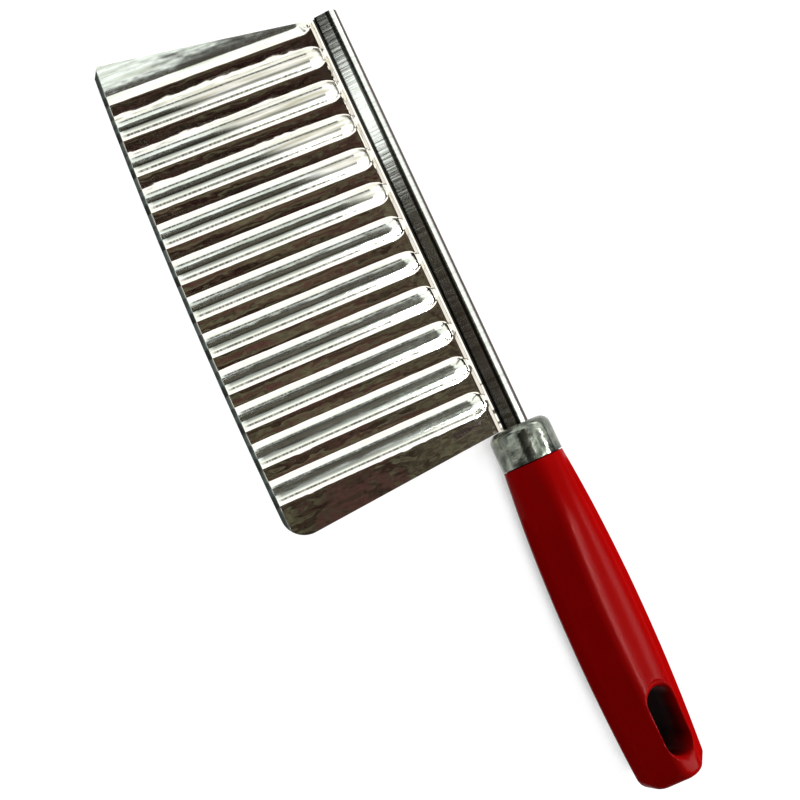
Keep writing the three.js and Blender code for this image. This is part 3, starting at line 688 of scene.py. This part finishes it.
white_card = bpy.data.materials.new("White card")
white_card.use_nodes = True
tree = white_card.node_tree
shader = tree.nodes["Principled BSDF"]
place = add_node(tree, "ShaderNodeTexCoord", {})
patch = add_node(tree, "ShaderNodeTexNoise", {"Vector": place.outputs["Object"], "Scale": 1 / 0.05, "Detail": 3})
tone = add_node(tree, "ShaderNodeMix", {
    "Factor": patch.outputs["Fac"], "A": linear("#FFFFFF"), "B": linear("#F0F3F1")}, data_type="RGBA")
tree.links.new(tone.outputs[2], shader.inputs["Emission Color"])

for name, centre, aim, half_width, half_height, paint, strength in (
        ("top_card", (-0.17, -0.1, 0.5), (-0.17, -0.1, 0), 0.25, 0.23, dark_card, 1),
        ("leg_card", (-0.25, -0.26, 0.49), (-0.25, -0.26, 0), 0.45, 0.08, dark_card, 0.4),
        ("tip_top_card", (-0.72, 0, 0.5), (-0.72, 0, 0), 0.3, 0.3, white_card, 1.7),
        ("butt_top_card", (0.34, 0, 0.5), (0.34, 0, 0), 0.26, 0.3, white_card, 1.7),
        ("spine_top_card", (-0.19, 0.28, 0.5), (-0.19, 0.28, 0), 0.26, 0.15, white_card, 1.7),
        ("tip_card", (-0.75, 0, 0.3), (0, 0, 0.02), 0.45, 0.32, white_card, 1.7),
        ("butt_card", (0.8, 0.05, 0.42), (0, 0, 0), 0.45, 0.25, white_card, 1.7),
        ("spine_card", (-0.31, 0.7, 0.45), (-0.31, 0, 0), 0.32, 0.3, white_card, 1.7),
        ("edge_card", (-0.25, -0.55, 0.36), (-0.25, 0, 0), 0.25, 0.36, white_card, 1.7),
        ("glint_card", (-0.268, -0.18, 0.47), (-0.268, -0.18, 0), 0.034, 0.06, white_card, 2.4),
        ("corner_card", (0.092, 0.056, 0.12), (0.092, 0.056, 0), 0.047, 0.02, white_card, 80),
        ("butt_sheen_card", (0.15, 0.105, 0.12), (0.15, 0.105, 0), 0.02, 0.03, white_card, 30),
        ("cap_card", (-0.42, 0.42, 0.22), (0.02, 0.03, 0.02), 0.12, 0.1, white_card, 5),
        ("cap_top_card", (0.028, 0.17, 0.485), (0.028, 0.17, 0), 0.018, 0.075, white_card, 5),
        ("ridge_card", (0.25, 0.6, 0.55), (0.07, 0.03, 0), 0.25, 0.035, white_card, 70),
        ("left_flag", (0.085, -0.012, 0.002), (0.085, -0.012, 0), 0.045, 0.026, dark_card, 0.3),
        ("right_flag", (0.08, 0.071, 0.002), (0.08, 0.071, 0), 0.05, 0.03, dark_card, 0.3)):
    face = paint.copy()
    face.name = paint.name + ", " + name
    shader = face.node_tree.nodes["Principled BSDF"]
    shader.inputs["Emission Strength"].default_value = strength
    shader.inputs["Base Color"].default_value = linear("#000000")
    shader.inputs["Specular IOR Level"].default_value = 0
    card = bmesh.new()
    bmesh.ops.create_grid(card, x_segments=1, y_segments=1, size=1)
    bmesh.ops.scale(card, vec=(half_width, half_height, 1), verts=card.verts[:])
    turn = (Vector(aim) - Vector(centre)).to_track_quat("-Z", "Y").to_matrix().to_4x4()
    bmesh.ops.transform(card, matrix=Matrix.Translation(centre) @ turn, verts=card.verts[:])
    card_mesh = bpy.data.meshes.new(name)
    card.to_mesh(card_mesh)
    card.free()
    card_mesh.materials.append(face)
    card_piece = bpy.data.objects.new(name, card_mesh)
    card_piece.visible_camera = False
    card_piece.visible_diffuse = False
    card_piece.visible_shadow = False
    card_piece.visible_transmission = False
    bpy.context.scene.collection.objects.link(card_piece)

# Soft boxes: the main one low on the spine's side and a weak fill on the edge's side, which reflections don't see.
for name, spot, width, height, power in (
        ("main_box", (0.15, 0.85, 0.42), 0.9, 0.4, 10),
        ("fill_box", (-0.2, -0.25, 0.28), 0.3, 0.3, 0.44)):
    lamp = bpy.data.lights.new(name, "AREA")
    lamp.shape = "RECTANGLE"
    lamp.size = width
    lamp.size_y = height
    lamp.energy = power
    holder = bpy.data.objects.new(name, lamp)
    holder.location = spot
    holder.rotation_euler = (-Vector(spot)).to_track_quat("-Z", "Y").to_euler()
    holder.visible_camera = False
    holder.visible_glossy = False
    bpy.context.scene.collection.objects.link(holder)

# Room: a weak, even grey.
room_light = bpy.data.worlds.new("Grey room")
bpy.context.scene.world = room_light
room_light.use_nodes = True
room_light.node_tree.nodes["Background"].inputs["Color"].default_value = linear("#FFFFFF")
room_light.node_tree.nodes["Background"].inputs["Strength"].default_value = 0.15

# Camera: a little to the edge's side of the cutter and above it, with the blade's tip at the top left.
lens = bpy.data.cameras.new("camera")
lens.lens = 45
lens.sensor_width = 36
camera = bpy.data.objects.new("camera", lens)
camera.location = (0.02157, -0.07276, 0.25981)
camera.rotation_euler = [math.radians(angle) for angle in (11.609, -12.937, 64.843)]
bpy.context.scene.collection.objects.link(camera)
bpy.context.scene.camera = camera
bpy.context.scene.view_settings.view_transform = "Standard"
